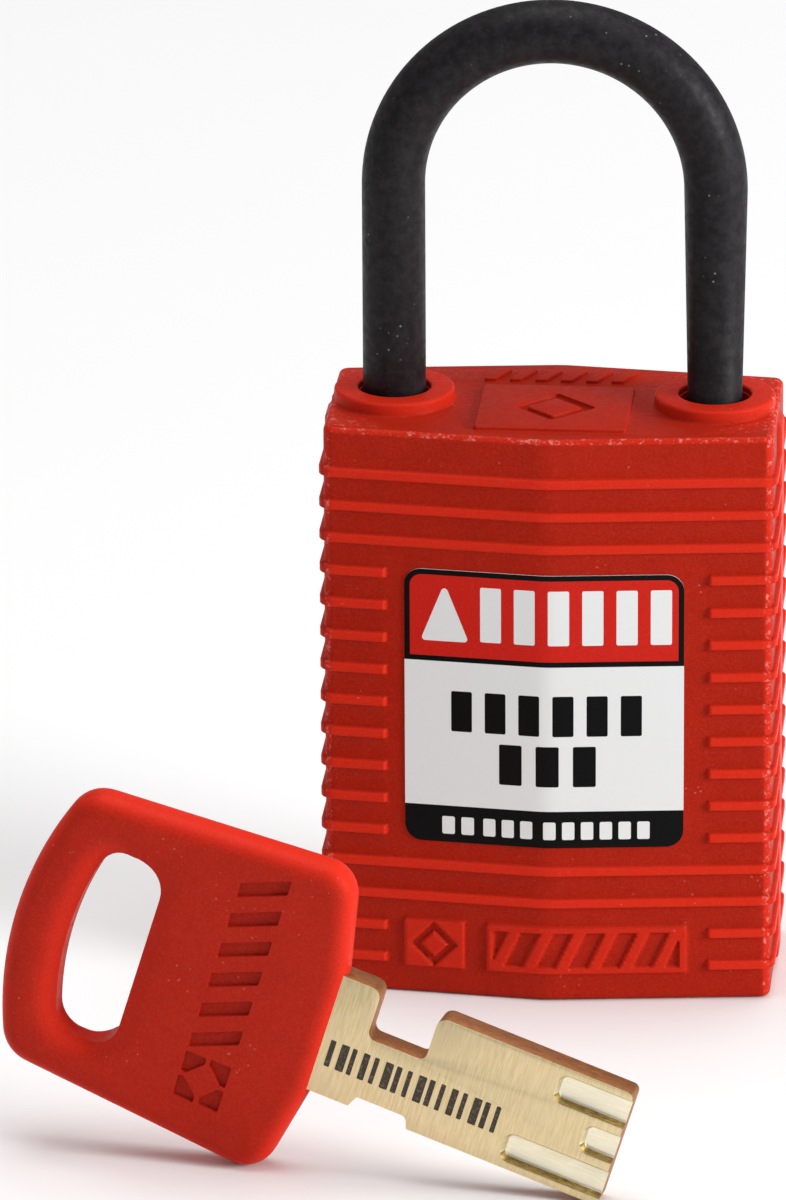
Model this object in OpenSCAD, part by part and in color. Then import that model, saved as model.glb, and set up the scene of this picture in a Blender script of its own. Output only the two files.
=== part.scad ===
// Compact safety padlock with a nylon shackle, a vertical key cylinder and its key.
// Frame: millimetres, +Z up, X to the right, the front face looks along -Y.
// The origin is the centre of the base that the lock stands on.

/* [Body] */
// Width between the flat sides
body_w = 33.4; // [32.6:0.1:34.6]
// Depth at the ridge in the middle
mid_d = 17.9; // [17.4:0.1:19]
// Depth at the two sides
side_d = 14.1; // [13.6:0.1:15]
// Height of the flat top above the base
body_h = 44.5; // [44:0.1:46]
// Radius of the four upright corners
corner_r = 0.8; // [0.4:0.1:1.2]
// How far ribs and side rails stand out
rib_out = 0.35; // [0.2:0.05:0.5]
// Height of one rib
rib_h = 0.8; // [0.6:0.05:1]
// Distance between neighbouring ribs
rib_pitch = 2.55; // [2.4:0.05:2.6]
// Height of the lowest rib's middle
rib_low = 2.8; // [2.6:0.1:3.2]
// Where the short ribs stop, measured from the middle
rib_stop = 12; // [11.6:0.1:13]

/* [Shackle] */
// Diameter of the nylon rod
rod_d = 4.7; // [4.5:0.05:4.8]
// Distance between the two legs' axes
leg_gap = 23.9; // [23.7:0.1:24.2]
// Clear height from the collars to the inside of the arch
clear_h = 25.4; // [20:0.1:76]
// How far the shackle rises when the lock opens
lift = 10.5; // [10.3:0.1:10.7]
// Outside diameter of the collars round the legs
collar_d = 9; // [8.6:0.1:9.4]
// Height of the collars
collar_h = 1; // [0.8:0.1:1.2]

/* [Lock cylinder] */
// Diameter of the bore that takes the cylinder
well_d = 14.2; // [14:0.05:14.3]
// Diameter of the turning plug
plug_d = 10.9; // [10.8:0.05:11]
// Diameter of the two locking balls
ball_d = 4; // [3.8:0.1:4.1]
// How far each ball is drawn in when the lock opens
ball_travel = 1.5; // [1.45:0.05:1.6]
// Height of the balls above the base
ball_z = 38.5; // [38.3:0.1:38.7]

/* [Key] */
// Width of the brass blade
blade_w = 9.3; // [9.1:0.05:9.5]
// Thickness of the blade
blade_t = 2; // [1.8:0.05:2.1]
// Length of the blade from the bow to the tip
blade_len = 22.4; // [22:0.1:23]
// Greatest width of the moulded bow
bow_w = 25; // [24:0.1:26]
// Thickness of the bow
bow_t = 3.4; // [3.2:0.1:4]
// Slope of the key as it stands on its edge
key_tilt = 17.4; // [16:0.1:19]
// How far the key is turned from the lock's front
key_yaw = -10.5; // [-14:0.5:-4]

/* [Hidden] */
$fn = 64;

nylon_red = [0.72, 0.11, 0.08];
nylon_black = [0.10, 0.10, 0.10];
brass = [0.84, 0.72, 0.47];
steel = [0.70, 0.71, 0.73];
zinc = [0.60, 0.61, 0.62];
vinyl = [0.95, 0.95, 0.95];

big = 100;              // longer than anything that it cuts
eps = 0.01;

// plan of the body
half_w = body_w / 2;
ridge_y = mid_d / 2;
side_y = side_d / 2;
facet_tilt = atan2(ridge_y - side_y, half_w);
ridge_r = 7;            // soft radius along the ridge

// ribs and relief
rib_count = 16;
function full_rib(i) = i == 2 || i == 3 || i > 12;
rail_w = 3;
rail_low = 1;
rail_high = body_h - 0.9;
relief_h = 0.3;
plate_low = 2.2;        // relief plates low on the front
plate_high = 6.0;
badge_cut = 1.9;        // side of the lozenge in the badge
frame_w = 0.55;         // width of the nameplate's frame
slant_count = 6;        // slanted bars in the nameplate
slant_w = 0.9;
slant_step = 2.4;
slant_lean = 25;
pad_cut = 4;            // side of the lozenge in the pad on the top
badge_x = [-10.7, -6.2];
name_x = [-4.45, 10.45];
pad_x = [-5.5, 5.8];    // raised pad on the top
pad_y = [-7.0, 2.9];
bar_y = [4.2, 6.6];     // raised bar behind it

// label
label_w = 20.8;
label_low = 12.35;
label_high = 33.9;
label_r = 1.3;
label_t = 0.12;
label_x = -0.2;

// shackle and its bores
leg_x = leg_gap / 2;
rod_r = rod_d / 2;
leg_bore_r = rod_r + 0.25;
mouth_r = rod_r + 0.35;
collar_top = body_h + collar_h;
arch_z = collar_top + clear_h - leg_x + rod_r;
toe_low = 35.5;
heel_low = 12.5;
ring_z = 14.2;
ring_t = 0.8;
ring_groove_r = 1.8;
chamber_r = 3.6;
chamber_top = ring_z + ring_t + lift + 0.1;

// bottom cover
rim = 1.6;              // wall left round the cover
cover_z = 0.3;
cover_top = 2.1;
cover_gap = 0.05;
mouth_hole_r = 5.05;
screw_xy = [[-8.8, 4.5], [8.8, -4.5]];
screw_head_r = 1.4;
screw_head_h = 0.8;
screw_r = 0.8;
screw_top = 8;

// cylinder
well_r = well_d / 2;
well_top = 41.4;
shell_r = well_r - 0.05;
plug_r = plug_d / 2;
bore_gap = 0.05;
house_low = cover_top + 0.1;
house_top = 24;
lip_top = 3.4;
retainer_t = 1;
plug_low = lip_top + retainer_t + 0.1;
plug_top = 26;
keyway_w = 10.1;
keyway_t = 2.3;
keyway_top = 23.2;
clip_z = house_top + 0.1;
clip_t = 0.8;
clip_r = 6.3;
clip_groove_r = 4.9;
tongue_w = 7;
tongue_t = 2;
tongue_low = 25;
stem_r = 3;
cam_low = 36;
cam_high = 41;
retainer_hole_r = 4.1;

// balls and cam: the balls rest on the cam, and the cam's radius falls evenly over a quarter turn
ball_r = ball_d / 2;
ball_bite = 1.4;        // how deep a ball sits in its leg
ball_x = leg_x - rod_r + ball_bite - ball_r;
cam_gap = 0.12;
cam_r = ball_x - ball_r - cam_gap;
ball_bore_r = ball_r + 0.08;
groove_r = ball_r + 0.1;
groove_slope = atan2(ball_travel, lift);

// sliders: one for each groove of the key
slider_x = [2.95, 0, -2.95];
slider_w = 1.6;
slider_y = [-3.2, -1.2];
slider_z = [9, 18];
slider_lug = 0.55;
slot_gap = 0.06;
slot_top = 23.4;
gate_z = [15.2, 12.4, 16.0];
gate_h = 1.2;

// sidebar
bar_x = 3.3;
bar_y_in = -3.35;
bar_y_out = -4.25;
bar_z = [14.6, 17.4];
nose_w = 1.2;
nose_y = -5.3;
bar_slot = 0.1;
bar_spring_x = [-1.475, 1.475];
bar_spring_y = 1.8;
bar_spring_len = 1.5;
bar_spring_r = 0.36;
bar_wire_r = 0.08;
slider_spring_r = 0.6;
slider_wire_r = 0.12;

// key, drawn with its tip's middle at the origin, its bow towards -X and its blade's width along Z
groove_w = 2.05;
groove_d = 0.7;
groove_start = [-5.4, -2.5, -7.75];
notch_u = [-19.6, -15.1];
notch_floor = 0.95;
nick_v = -3.7;
bow_left = -46.9;
bow_right = -blade_len;
bow_tail_w = 22.3;      // width of the bow at its free end
bow_tail_r = 2.8;
bow_end_r = 27;         // curve of the free end
bow_corner_r = 2.6;
bow_corner_u = -26.1;
neck_half = 4.75;       // half width of the bow where the blade comes out
bow_slot_u = -39.85;
bow_slot_w = 5.8;
bow_slot_h = 15.2;
tip_r = 0.5;
tang_len = 9;           // narrow end of the blade that the bow is moulded on
tang_half = 3;
socket_d = 0.5;         // how far the blade's full width goes into the bow
// the key stands on its bow's corner and on its tip's corner, whichever is lower
bow_drop = bow_corner_u * sin(key_tilt) + (bow_w / 2 - bow_corner_r) * cos(key_tilt) + bow_corner_r;
tip_drop = -tip_r * sin(key_tilt) + (blade_w / 2 - tip_r) * cos(key_tilt) + tip_r;
key_z = max(bow_drop, tip_drop) + 0.03;
key_pos = [8.05, -46.8];

// ---------- shared shapes ----------

// points of an arc round c, from angle a0 to a1
function arc(c, r, a0, a1, n) =
    [for (i = [0:n]) c + r * [cos(a0 + (a1 - a0) * i / n), sin(a0 + (a1 - a0) * i / n)]];

// front right quarter of the body's plan, grown by g, from the ridge to the middle of the side
function quarter(g) =
    let (t = facet_tilt, rr = ridge_r + g, cr = max(corner_r + g, 0.3), cx = half_w + g - cr,
         ridge_c = [0, -(ridge_y + g) + rr / cos(t)],
         corner_c = [cx, cx * tan(t) - (ridge_y + g) + cr / cos(t)])
    concat(arc(ridge_c, rr, -90, -90 + t, 4), arc(corner_c, cr, -90 + t, 0, 5));

module body_plan(g = 0) {
    q = quarter(g);
    n = len(q);
    right = concat(q, [for (i = [n - 1:-1:0]) [q[i][0], -q[i][1]]]);
    left = [for (i = [len(right) - 2:-1:1]) [-right[i][0], right[i][1]]];
    polygon(concat(right, left));
}

// box from one corner to the other
module span(x, y, z) {
    translate([x[0], y[0], z[0]]) cube([x[1] - x[0], y[1] - y[0], z[1] - z[0]]);
}

module disc(r, z0, z1) {
    translate([0, 0, z0]) cylinder(r = r, h = z1 - z0);
}

// rectangle with round corners
module round_rect(w, h, r) {
    square([w - 2 * r, h], center = true);
    square([w, h - 2 * r], center = true);
    for (x = [-1, 1], y = [-1, 1])
        translate([x * (w / 2 - r), y * (h / 2 - r)]) circle(r = r);
}

// round wire wound into an open coil round Z, from z = 0 to h
module coil(mean_r, wire_r, h, turns, steps = 14, sides = 6) {
    n = turns * steps;
    rise = (h - 2 * wire_r) / n;
    pts = [for (i = [0:n], k = [0:sides - 1])
        let (a = 360 * i / steps, b = 360 * k / sides, r = mean_r + wire_r * cos(b))
        [r * cos(a), r * sin(a), wire_r + rise * i + wire_r * sin(b)]];
    walls = [for (i = [0:n - 1], k = [0:sides - 1])
        let (k2 = (k + 1) % sides, a = i * sides, b = (i + 1) * sides)
        [a + k, a + k2, b + k2, b + k]];
    foot = [[for (k = [sides - 1:-1:0]) k]];
    head = [[for (k = [0:sides - 1]) n * sides + k]];
    polyhedron(points = pts, faces = concat(walls, foot, head), convexity = 10);
}

// ---------- body and covers ----------

module rib(i) {
    z = rib_low + i * rib_pitch - rib_h / 2;
    difference() {
        translate([0, 0, z]) linear_extrude(rib_h) body_plan(rib_out);
        if (!full_rib(i))
            span([-rib_stop, rib_stop], [-big, big], [z - 1, z + rib_h + 1]);
    }
}

module side_rails() {
    intersection() {
        translate([0, 0, rail_low]) linear_extrude(rail_high - rail_low) body_plan(rib_out);
        span([-big, big], [-rail_w / 2, rail_w / 2], [0, body_h]);
    }
}

// generic relief low on the front: a badge with a lozenge cut in it, and a nameplate of slanted bars
module front_relief() {
    mid_z = (plate_low + plate_high) / 2;
    name_mid = (name_x[0] + name_x[1]) / 2;
    intersection() {
        linear_extrude(body_h) body_plan(relief_h);
        union() {
            difference() {
                span(badge_x, [-big, -side_y + 2], [plate_low, plate_high]);
                translate([(badge_x[0] + badge_x[1]) / 2, 0, mid_z]) rotate([0, 45, 0])
                    cube([badge_cut, big, badge_cut], center = true);
            }
            difference() {
                span(name_x, [-big, -side_y + 2], [plate_low, plate_high]);
                span(name_x + [frame_w, -frame_w], [-big, -side_y + 3],
                     [plate_low + frame_w, plate_high - frame_w]);
            }
            intersection() {
                span(name_x, [-big, -side_y + 2], [plate_low, plate_high]);
                for (k = [0:slant_count - 1])
                    translate([name_mid + slant_step * (k - (slant_count - 1) / 2), 0, mid_z])
                        rotate([0, slant_lean, 0]) cube([slant_w, big, 6], center = true);
            }
        }
    }
}

// generic relief on the top: a pad with a lozenge cut in it, and a plain bar
module top_relief() {
    difference() {
        union() {
            span(pad_x, pad_y, [body_h - eps, body_h + relief_h]);
            span(pad_x, bar_y, [body_h - eps, body_h + relief_h]);
        }
        translate([(pad_x[0] + pad_x[1]) / 2, (pad_y[0] + pad_y[1]) / 2, body_h]) rotate([0, 0, 45])
            cube([pad_cut, pad_cut, 2], center = true);
    }
}

module body_shell() color(nylon_red) difference() {
    union() {
        linear_extrude(body_h) body_plan();
        for (i = [0:rib_count - 1]) rib(i);
        side_rails();
        front_relief();
        top_relief();
        for (s = [-1, 1]) translate([s * leg_x, 0, 0]) disc(collar_d / 2, body_h - 1, collar_top);
    }
    translate([0, 0, -1]) linear_extrude(cover_top + 1) body_plan(-rim);
    disc(well_r, -1, well_top);
    // heel bore, its wide chamber, and the toe bore
    translate([-leg_x, 0, 0]) disc(leg_bore_r, 1, big);
    translate([-leg_x, 0, 0]) disc(chamber_r, 1, chamber_top);
    translate([leg_x, 0, 0]) disc(leg_bore_r, toe_low - 2, big);
    for (s = [-1, 1]) translate([s * leg_x, 0, 0]) disc(mouth_r, collar_top - 0.5, big);
    // cross bore for the balls
    translate([-leg_x, 0, ball_z]) rotate([0, 90, 0]) cylinder(r = ball_bore_r, h = leg_gap);
    for (p = screw_xy) translate([p[0], p[1], 0]) disc(screw_r + 0.03, 1, screw_top + 0.3);
}

module bottom_cover() color(nylon_red) difference() {
    translate([0, 0, cover_z]) linear_extrude(cover_top - cover_z) body_plan(-rim - cover_gap);
    disc(mouth_hole_r, -1, cover_top + 1);
    for (p = screw_xy) translate([p[0], p[1], 0]) {
        disc(screw_r + 0.1, -1, cover_top + 1);
        disc(screw_head_r + 0.1, -1, cover_z + screw_head_h);
    }
}

module cover_screws() color(steel)
    for (p = screw_xy) translate([p[0], p[1], 0]) difference() {
        union() {
            disc(screw_head_r, cover_z + 0.05, cover_z + screw_head_h);
            disc(screw_r, cover_z + screw_head_h - eps, screw_top);
        }
        translate([0, 0, cover_z]) for (a = [0, 90]) rotate([0, 0, a])
            cube([0.35, 1.7, 0.9], center = true);
    }

module label(side) color(vinyl) intersection() {
    difference() {
        linear_extrude(body_h) body_plan(label_t);
        translate([0, 0, -1]) linear_extrude(body_h + 2) body_plan();
    }
    translate([side * label_x, 0, (label_low + label_high) / 2]) rotate([90, 0, 0])
        translate([0, 0, side > 0 ? 1 : -big / 2 - 1])
            linear_extrude(big / 2) round_rect(label_w, label_high - label_low, label_r);
}

module label_front() label(1);
module label_back() label(-1);

// ---------- cylinder ----------

module cylinder_housing() color(zinc) difference() {
    disc(shell_r, house_low, house_top);
    disc(mouth_hole_r, house_low - 1, house_top);
    disc(plug_r + bore_gap, lip_top, house_top + 1);
    // groove that the sidebar's nose drops into
    span([-nose_w / 2 - 0.2, nose_w / 2 + 0.2], [-plug_r - 0.9, -plug_r + 1],
         [bar_z[0] - 0.4, house_top + 1]);
}

// disc that the key's notches turn in, so that a turned key can't be pulled out
module key_retainer() color(steel) difference() {
    disc(plug_r, lip_top, lip_top + retainer_t);
    disc(retainer_hole_r, lip_top - 1, lip_top + retainer_t + 1);
    cube([keyway_w, keyway_t, big], center = true);
}

module spacer_sleeve() color(nylon_black) difference() {
    disc(shell_r, plug_top + 0.1, cam_low - 0.1);
    disc(stem_r + 0.06, plug_top - 1, cam_low + 1);
}

module spring_seat() color(nylon_black) translate([-leg_x, 0, 0]) {
    disc(chamber_r - 0.1, house_low, house_low + 1.1);
    disc(1.8, house_low + 1, house_low + 3.4);
}

module shackle_spring() color(steel) translate([-leg_x, 0, house_low + 1.1])
    coil(3, 0.25, ring_z - house_low - 1.15, 7, 18, 8);

module slider_slot(i) {
    span([slider_x[i] - slider_w / 2 - slot_gap, slider_x[i] + slider_w / 2 + slot_gap],
         [slider_y[0] - slot_gap, 0], [slider_z[0] - slot_gap, slot_top]);
}

module sidebar_spring_places() {
    for (x = bar_spring_x) translate([x, 0, (bar_z[0] + bar_z[1]) / 2]) rotate([90, 0, 0]) children();
}

module plug() color(brass) difference() {
    disc(plug_r, plug_low, plug_top);
    span([-keyway_w / 2, keyway_w / 2], [-keyway_t / 2, keyway_t / 2], [-1, keyway_top]);
    for (i = [0:2]) slider_slot(i);
    // groove for the clip
    difference() {
        disc(plug_r + 1, clip_z - 0.05, clip_z + clip_t + 0.05);
        disc(clip_groove_r, 0, big);
    }
    // slot for the cam's tongue
    span([-tongue_w / 2 - 0.1, tongue_w / 2 + 0.1], [-tongue_t / 2 - 0.05, tongue_t / 2 + 0.05],
         [tongue_low - 0.1, plug_top + 1]);
    // pocket for the sidebar, its nose and its springs
    span([-bar_x - bar_slot, bar_x + bar_slot], [bar_y_out - 0.5, bar_y_in + 0.05],
         [bar_z[0] - bar_slot, bar_z[1] + bar_slot]);
    span([-nose_w / 2 - bar_slot, nose_w / 2 + bar_slot], [-plug_r - 1, bar_y_in],
         [bar_z[0] - bar_slot, bar_z[1] + bar_slot]);
    sidebar_spring_places() translate([0, 0, bar_spring_y - 0.05])
        cylinder(r = bar_spring_r + 2 * bar_wire_r, h = bar_spring_len + 0.5);
}

module plug_clip() color(steel) difference() {
    disc(clip_r, clip_z, clip_z + clip_t);
    disc(clip_groove_r + 0.05, clip_z - 1, clip_z + clip_t + 1);
    span([-1.6, 1.6], [0, big], [clip_z - 1, clip_z + clip_t + 1]);
}

module locking_cam() color(zinc) {
    span([-tongue_w / 2, tongue_w / 2], [-tongue_t / 2, tongue_t / 2], [tongue_low, plug_top + 0.08]);
    disc(stem_r, plug_top + 0.05, cam_low + 1);
    translate([0, 0, cam_low]) linear_extrude(cam_high - cam_low)
        polygon([for (a = [0:3:357])
            let (r = cam_r - ball_travel * abs((a + 90) % 180 - 90) / 90) [r * cos(a), r * sin(a)]]);
}

module sidebar() color(brass) {
    span([-bar_x, bar_x], [bar_y_out, bar_y_in - 0.02], bar_z);
    span([-nose_w / 2, nose_w / 2], [nose_y, bar_y_out + eps], bar_z);
}

module sidebar_springs() color(steel) sidebar_spring_places()
    translate([0, 0, bar_spring_y]) coil(bar_spring_r, bar_wire_r, bar_spring_len, 5, 10, 6);

module slider(i) color(brass) difference() {
    union() {
        span([slider_x[i] - slider_w / 2, slider_x[i] + slider_w / 2], slider_y, slider_z);
        // lug that reaches into the key's groove
        span([slider_x[i] - slider_w / 2, slider_x[i] + slider_w / 2],
             [slider_y[1] - eps, slider_y[1] + slider_lug], [slider_z[1] - 1.4, slider_z[1]]);
    }
    span([slider_x[i] - slider_w, slider_x[i] + slider_w], [slider_y[0] - 1, slider_y[0] + 0.6],
         [gate_z[i], gate_z[i] + gate_h]);
}

module slider_1() slider(0);
module slider_2() slider(1);
module slider_3() slider(2);

module slider_spring(i) color(steel)
    translate([slider_x[i], (slider_y[0] + slider_y[1]) / 2, slider_z[1] + 0.03])
        coil(slider_spring_r, slider_wire_r, slot_top - slider_z[1] - 0.08, 7, 10, 6);

module slider_spring_1() slider_spring(0);
module slider_spring_2() slider_spring(1);
module slider_spring_3() slider_spring(2);

// ---------- balls and shackle ----------

module ball(s) color(steel) translate([s * ball_x, 0, ball_z]) sphere(r = ball_r);
module ball_heel() ball(-1);
module ball_toe() ball(1);

// path that a ball cuts in a leg as the shackle rises and the ball draws in
module ball_path(s) {
    translate([s * ball_x, 0, ball_z]) rotate([0, s * (180 + groove_slope), 0]) {
        sphere(r = groove_r);
        cylinder(r = groove_r, h = lift / cos(groove_slope) + 2);
    }
}

module shackle() color(nylon_black) difference() {
    union() {
        translate([0, 0, arch_z]) rotate([90, 0, 0]) rotate_extrude(angle = 180, $fn = 96)
            translate([leg_x, 0]) circle(r = rod_r);
        translate([leg_x, 0, 0]) disc(rod_r, toe_low, arch_z);
        translate([-leg_x, 0, 0]) disc(rod_r, heel_low, arch_z);
    }
    for (s = [-1, 1]) ball_path(s);
    translate([-leg_x, 0, 0]) difference() {
        disc(rod_r + 1, ring_z - 0.05, ring_z + ring_t + 0.05);
        disc(ring_groove_r, 0, big);
    }
}

module heel_ring() color(steel) translate([-leg_x, 0, 0]) difference() {
    disc(chamber_r - 0.15, ring_z, ring_z + ring_t);
    disc(ring_groove_r + 0.05, ring_z - 1, ring_z + ring_t + 1);
    span([-0.9, 0.9], [0, big], [ring_z - 1, ring_z + ring_t + 1]);
}

// ---------- key ----------

module stand_key() {
    translate([key_pos[0], key_pos[1], key_z]) rotate([0, 0, key_yaw]) rotate([0, key_tilt, 0])
        children();
}

// outline of the blade in its own plane, its tip at u = 0
module blade_plan() {
    tail = bow_right - tang_len;
    difference() {
        union() {
            translate([tail, -blade_w / 2]) square([-tail - tip_r, blade_w]);
            translate([-2 * tip_r, -blade_w / 2 + tip_r]) square([2 * tip_r, blade_w - 2 * tip_r]);
            for (s = [-1, 1]) translate([-tip_r, s * (blade_w / 2 - tip_r)]) circle(r = tip_r);
        }
        // deep notch in one edge, shallow nick in the other, and the narrow tang in the bow
        translate([notch_u[0], notch_floor]) square([notch_u[1] - notch_u[0], blade_w]);
        translate([notch_u[0] + 0.2, nick_v - blade_w]) square([notch_u[1] - notch_u[0] - 0.2, blade_w]);
        for (y = [tang_half, -tang_half - blade_w])
            translate([tail - 1, y]) square([tang_len + 1 - socket_d, blade_w]);
    }
}

// one milled groove, open at the tip
module key_groove(i) {
    translate([0, -blade_t / 2, slider_x[i]]) rotate([90, 0, 0]) translate([0, 0, -groove_d])
        linear_extrude(2) {
            translate([groove_start[i] + groove_w / 2, 0]) circle(d = groove_w);
            translate([groove_start[i] + groove_w / 2, -groove_w / 2])
                square([1 - groove_start[i] - groove_w / 2, groove_w]);
        }
}

module key_blade() color(brass) stand_key() difference() {
    translate([0, blade_t / 2, 0]) rotate([90, 0, 0]) linear_extrude(blade_t) blade_plan();
    for (i = [0:2]) key_groove(i);
}

// outline of the bow: a curved free end, corners, and shoulders that slope to the blade
module bow_plan() {
    half = bow_w / 2;
    inner_r = bow_end_r - bow_tail_r;
    rise = bow_tail_w / 2 - bow_tail_r;
    swing = asin(rise / inner_r);       // where the free end's curve runs into its corners
    end_c = [bow_left + bow_end_r, 0];
    tail_c = [end_c[0] - inner_r * cos(swing), -rise];
    corner_c = [bow_corner_u, -half + bow_corner_r];
    side_slope = atan2(bow_corner_r - bow_tail_r - corner_c[1] + tail_c[1], corner_c[0] - tail_c[0]);
    low = concat(
        arc(tail_c, bow_tail_r, 180 + swing, 270 - side_slope, 6),
        arc(corner_c, bow_corner_r, 270 - side_slope, 344, 6),
        [[bow_right, -neck_half]]);
    high = [for (i = [len(low) - 1:-1:0]) [low[i][0], -low[i][1]]];
    polygon(concat(arc(end_c, bow_end_r, 180 - swing, 180 + swing, 12), low, high));
}

module bow_slot_plan() {
    translate([bow_slot_u, 0]) round_rect(bow_slot_w, bow_slot_h, 2.2);
}

module key_bow() color(nylon_red) stand_key() difference() {
    translate([0, bow_t / 2, 0]) rotate([90, 0, 0]) linear_extrude(bow_t) difference() {
        bow_plan();
        bow_slot_plan();
    }
    // pocket that the blade's tang is moulded into
    wall = [-blade_t / 2 - eps, blade_t / 2 + eps];
    span([bow_right - tang_len - eps, bow_right + 1], wall, [-tang_half - eps, tang_half + eps]);
    span([bow_right - socket_d - eps, bow_right + 1], wall, [-blade_w / 2 - eps, blade_w / 2 + eps]);
}

body_shell();
bottom_cover();
cover_screws();
label_front();
label_back();
cylinder_housing();
key_retainer();
spacer_sleeve();
spring_seat();
shackle_spring();
plug();
plug_clip();
locking_cam();
sidebar();
sidebar_springs();
slider_1();
slider_2();
slider_3();
slider_spring_1();
slider_spring_2();
slider_spring_3();
ball_heel();
ball_toe();
shackle();
heel_ring();
key_blade();
key_bow();
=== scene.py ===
"""Safety padlock with its key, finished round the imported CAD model.

Lengths are written in millimetres and turned into metres where a mesh is made (MM).
Frame: +Z up, the lock's front looks along -Y, the origin is the centre of its base.
"""

import math

import bmesh
import bpy
import numpy as np
from mathutils import Matrix, Vector
from mathutils.geometry import delaunay_2d_cdt


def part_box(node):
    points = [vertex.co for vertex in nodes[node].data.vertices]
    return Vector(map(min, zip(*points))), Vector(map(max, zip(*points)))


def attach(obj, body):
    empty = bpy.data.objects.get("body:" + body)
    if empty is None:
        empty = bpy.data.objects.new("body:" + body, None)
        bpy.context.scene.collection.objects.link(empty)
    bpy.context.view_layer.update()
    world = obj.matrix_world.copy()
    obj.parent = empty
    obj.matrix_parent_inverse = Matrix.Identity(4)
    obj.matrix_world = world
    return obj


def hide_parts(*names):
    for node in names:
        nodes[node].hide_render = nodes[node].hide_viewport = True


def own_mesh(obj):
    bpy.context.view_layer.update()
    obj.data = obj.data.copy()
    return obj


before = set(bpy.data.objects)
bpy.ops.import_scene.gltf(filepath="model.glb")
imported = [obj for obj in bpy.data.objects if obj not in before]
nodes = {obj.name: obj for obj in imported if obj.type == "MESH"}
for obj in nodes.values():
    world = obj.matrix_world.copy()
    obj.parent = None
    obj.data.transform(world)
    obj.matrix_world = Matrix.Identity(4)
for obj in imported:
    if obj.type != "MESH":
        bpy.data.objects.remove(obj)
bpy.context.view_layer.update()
MM = 0.001


def node_box(name):
    """Lowest and highest corner of a CAD node in millimetres."""
    low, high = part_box(name)
    return np.array(low) / MM, np.array(high) / MM


# ---------- sizes

RIB_OUT = 0.35  # how far ribs and side rails stand out
RIB_H = 0.8
RIB_PITCH = 2.55
RIB_LOW = 2.8  # middle of the lowest rib
RIB_COUNT = 16
RIB_STOP = 12.0  # where the short ribs end
COLLAR_H = 1.0
CORNER_R = 0.8
RIDGE_R = 7.0
SIDE_DROP = 1.9  # how much closer the sides are than the ridge
RELIEF_H = 0.3
EDGE_R = 0.45  # rounding of the top edge
FOOT_R = 0.5  # rounding of the bottom edge
COVER_INSET = 1.6  # rim of the body round the bottom cover

shell_high = node_box("body_shell")[1]
HALF_W = shell_high[0] - RIB_OUT
BODY_H = shell_high[2] - COLLAR_H
FACET = math.atan2(SIDE_DROP, HALF_W)
SIDE_Y = 7.05  # where the facets would meet the sides
RIDGE_Y = HALF_W * math.tan(FACET) + SIDE_Y

LEG_X = 11.95
ROD_R = 2.35
COLLAR_R = 4.5
MOUTH_R = 2.7
LEG_BORE_R = 2.6
TOE_LOW = 35.5  # lower end of the toe leg
TOE_BORE_LOW = 33.5
BALL_Z = 38.5
CROSS_BORE_R = 2.08  # bore that the two locking balls slide in
CHAMBER_R = 3.6  # wider bore round the shackle spring
CHAMBER_TOP = 25.6
WELL_R = 7.1  # bore for the cylinder housing
WELL_TOP = 41.4
BORE_FLOOR = 1.0
SCREWS = ((-8.8, 4.5), (8.8, -4.5))
SCREW_R = 0.83
SCREW_TOP = 8.3

EMBLEM_AT = (0.15, -2.05)  # middle of the generic lozenge on the top face

PLATE_Z = (2.2, 6.0)  # badge and nameplate low on the front
BADGE_X = (-10.7, -6.2)
NAME_X = (-4.45, 10.45)
SLANT = 0.47  # lean of the generic slanted bars
BARS = 6

LABEL_X = (-10.6, 10.2)
LABEL_Z = (12.35, 33.9)
LABEL_T = 0.12
LABEL_R = 1.3
LABEL_EDGE = 0.41
HEADER_Z = 26.7
FOOTER_Z = 15.25

# the key is drawn with its tip at the origin, its bow towards -X and its blade's width along Z
KEY_TILT = math.radians(17.4)
KEY_YAW = math.radians(-10.5)
KEY_AT = (8.05, -46.8)
BLADE_W = 9.3
BLADE_ROOT = 4.85  # the blade is slightly higher between its notch and the bow
NOTCH = (-19.6, -15.1)
NOTCH_FLOOR = 0.95
NICK_V = -3.75
BLADE_T = 2.0
BOW_T = 3.4
BOW_LEFT = -46.9
BOW_RIGHT = -22.4
BOW_END_R = 27.0
BOW_W = 25.0
BOW_TAIL_W = 22.3
BOW_TAIL_R = 2.8
BOW_CORNER_R = 2.6
BOW_CORNER_U = -26.1
BOW_NECK = 4.75  # half width of the bow where the blade comes out
TIP_R = 0.5
ENGRAVED = 0.32
GROOVES = ((2.95, -5.4), (0.0, -2.5), (-2.95, -7.75))  # height of each groove and where it starts


# ---------- small mesh tools


def add_mesh(name, verts, faces, smooth_angle=50):
    """A mesh object from points in millimetres."""
    mesh = bpy.data.meshes.new(name)
    places = [tuple(float(c) * MM for c in v) for v in verts]
    mesh.from_pydata(places, [], [tuple(f) for f in faces])
    mesh.validate()
    mesh.update()
    obj = bpy.data.objects.new(name, mesh)
    bpy.context.scene.collection.objects.link(obj)
    smooth(obj, smooth_angle)
    return obj


def smooth(obj, angle):
    """Smooth shading, with edges sharper than angle (in degrees) left crisp."""
    obj.data.shade_smooth()
    obj.data.set_sharp_from_angle(angle=math.radians(angle))


def face_outward(obj):
    """Turns every face of a closed mesh outward."""
    work = bmesh.new()
    work.from_mesh(obj.data)
    bmesh.ops.recalc_face_normals(work, faces=work.faces)
    work.to_mesh(obj.data)
    work.free()


def bake_modifiers(obj):
    """Applies the object's modifiers to its mesh."""
    graph = bpy.context.evaluated_depsgraph_get()
    old = obj.data
    obj.data = bpy.data.meshes.new_from_object(obj.evaluated_get(graph))
    obj.data.materials.clear()
    obj.modifiers.clear()
    bpy.data.meshes.remove(old)


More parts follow.
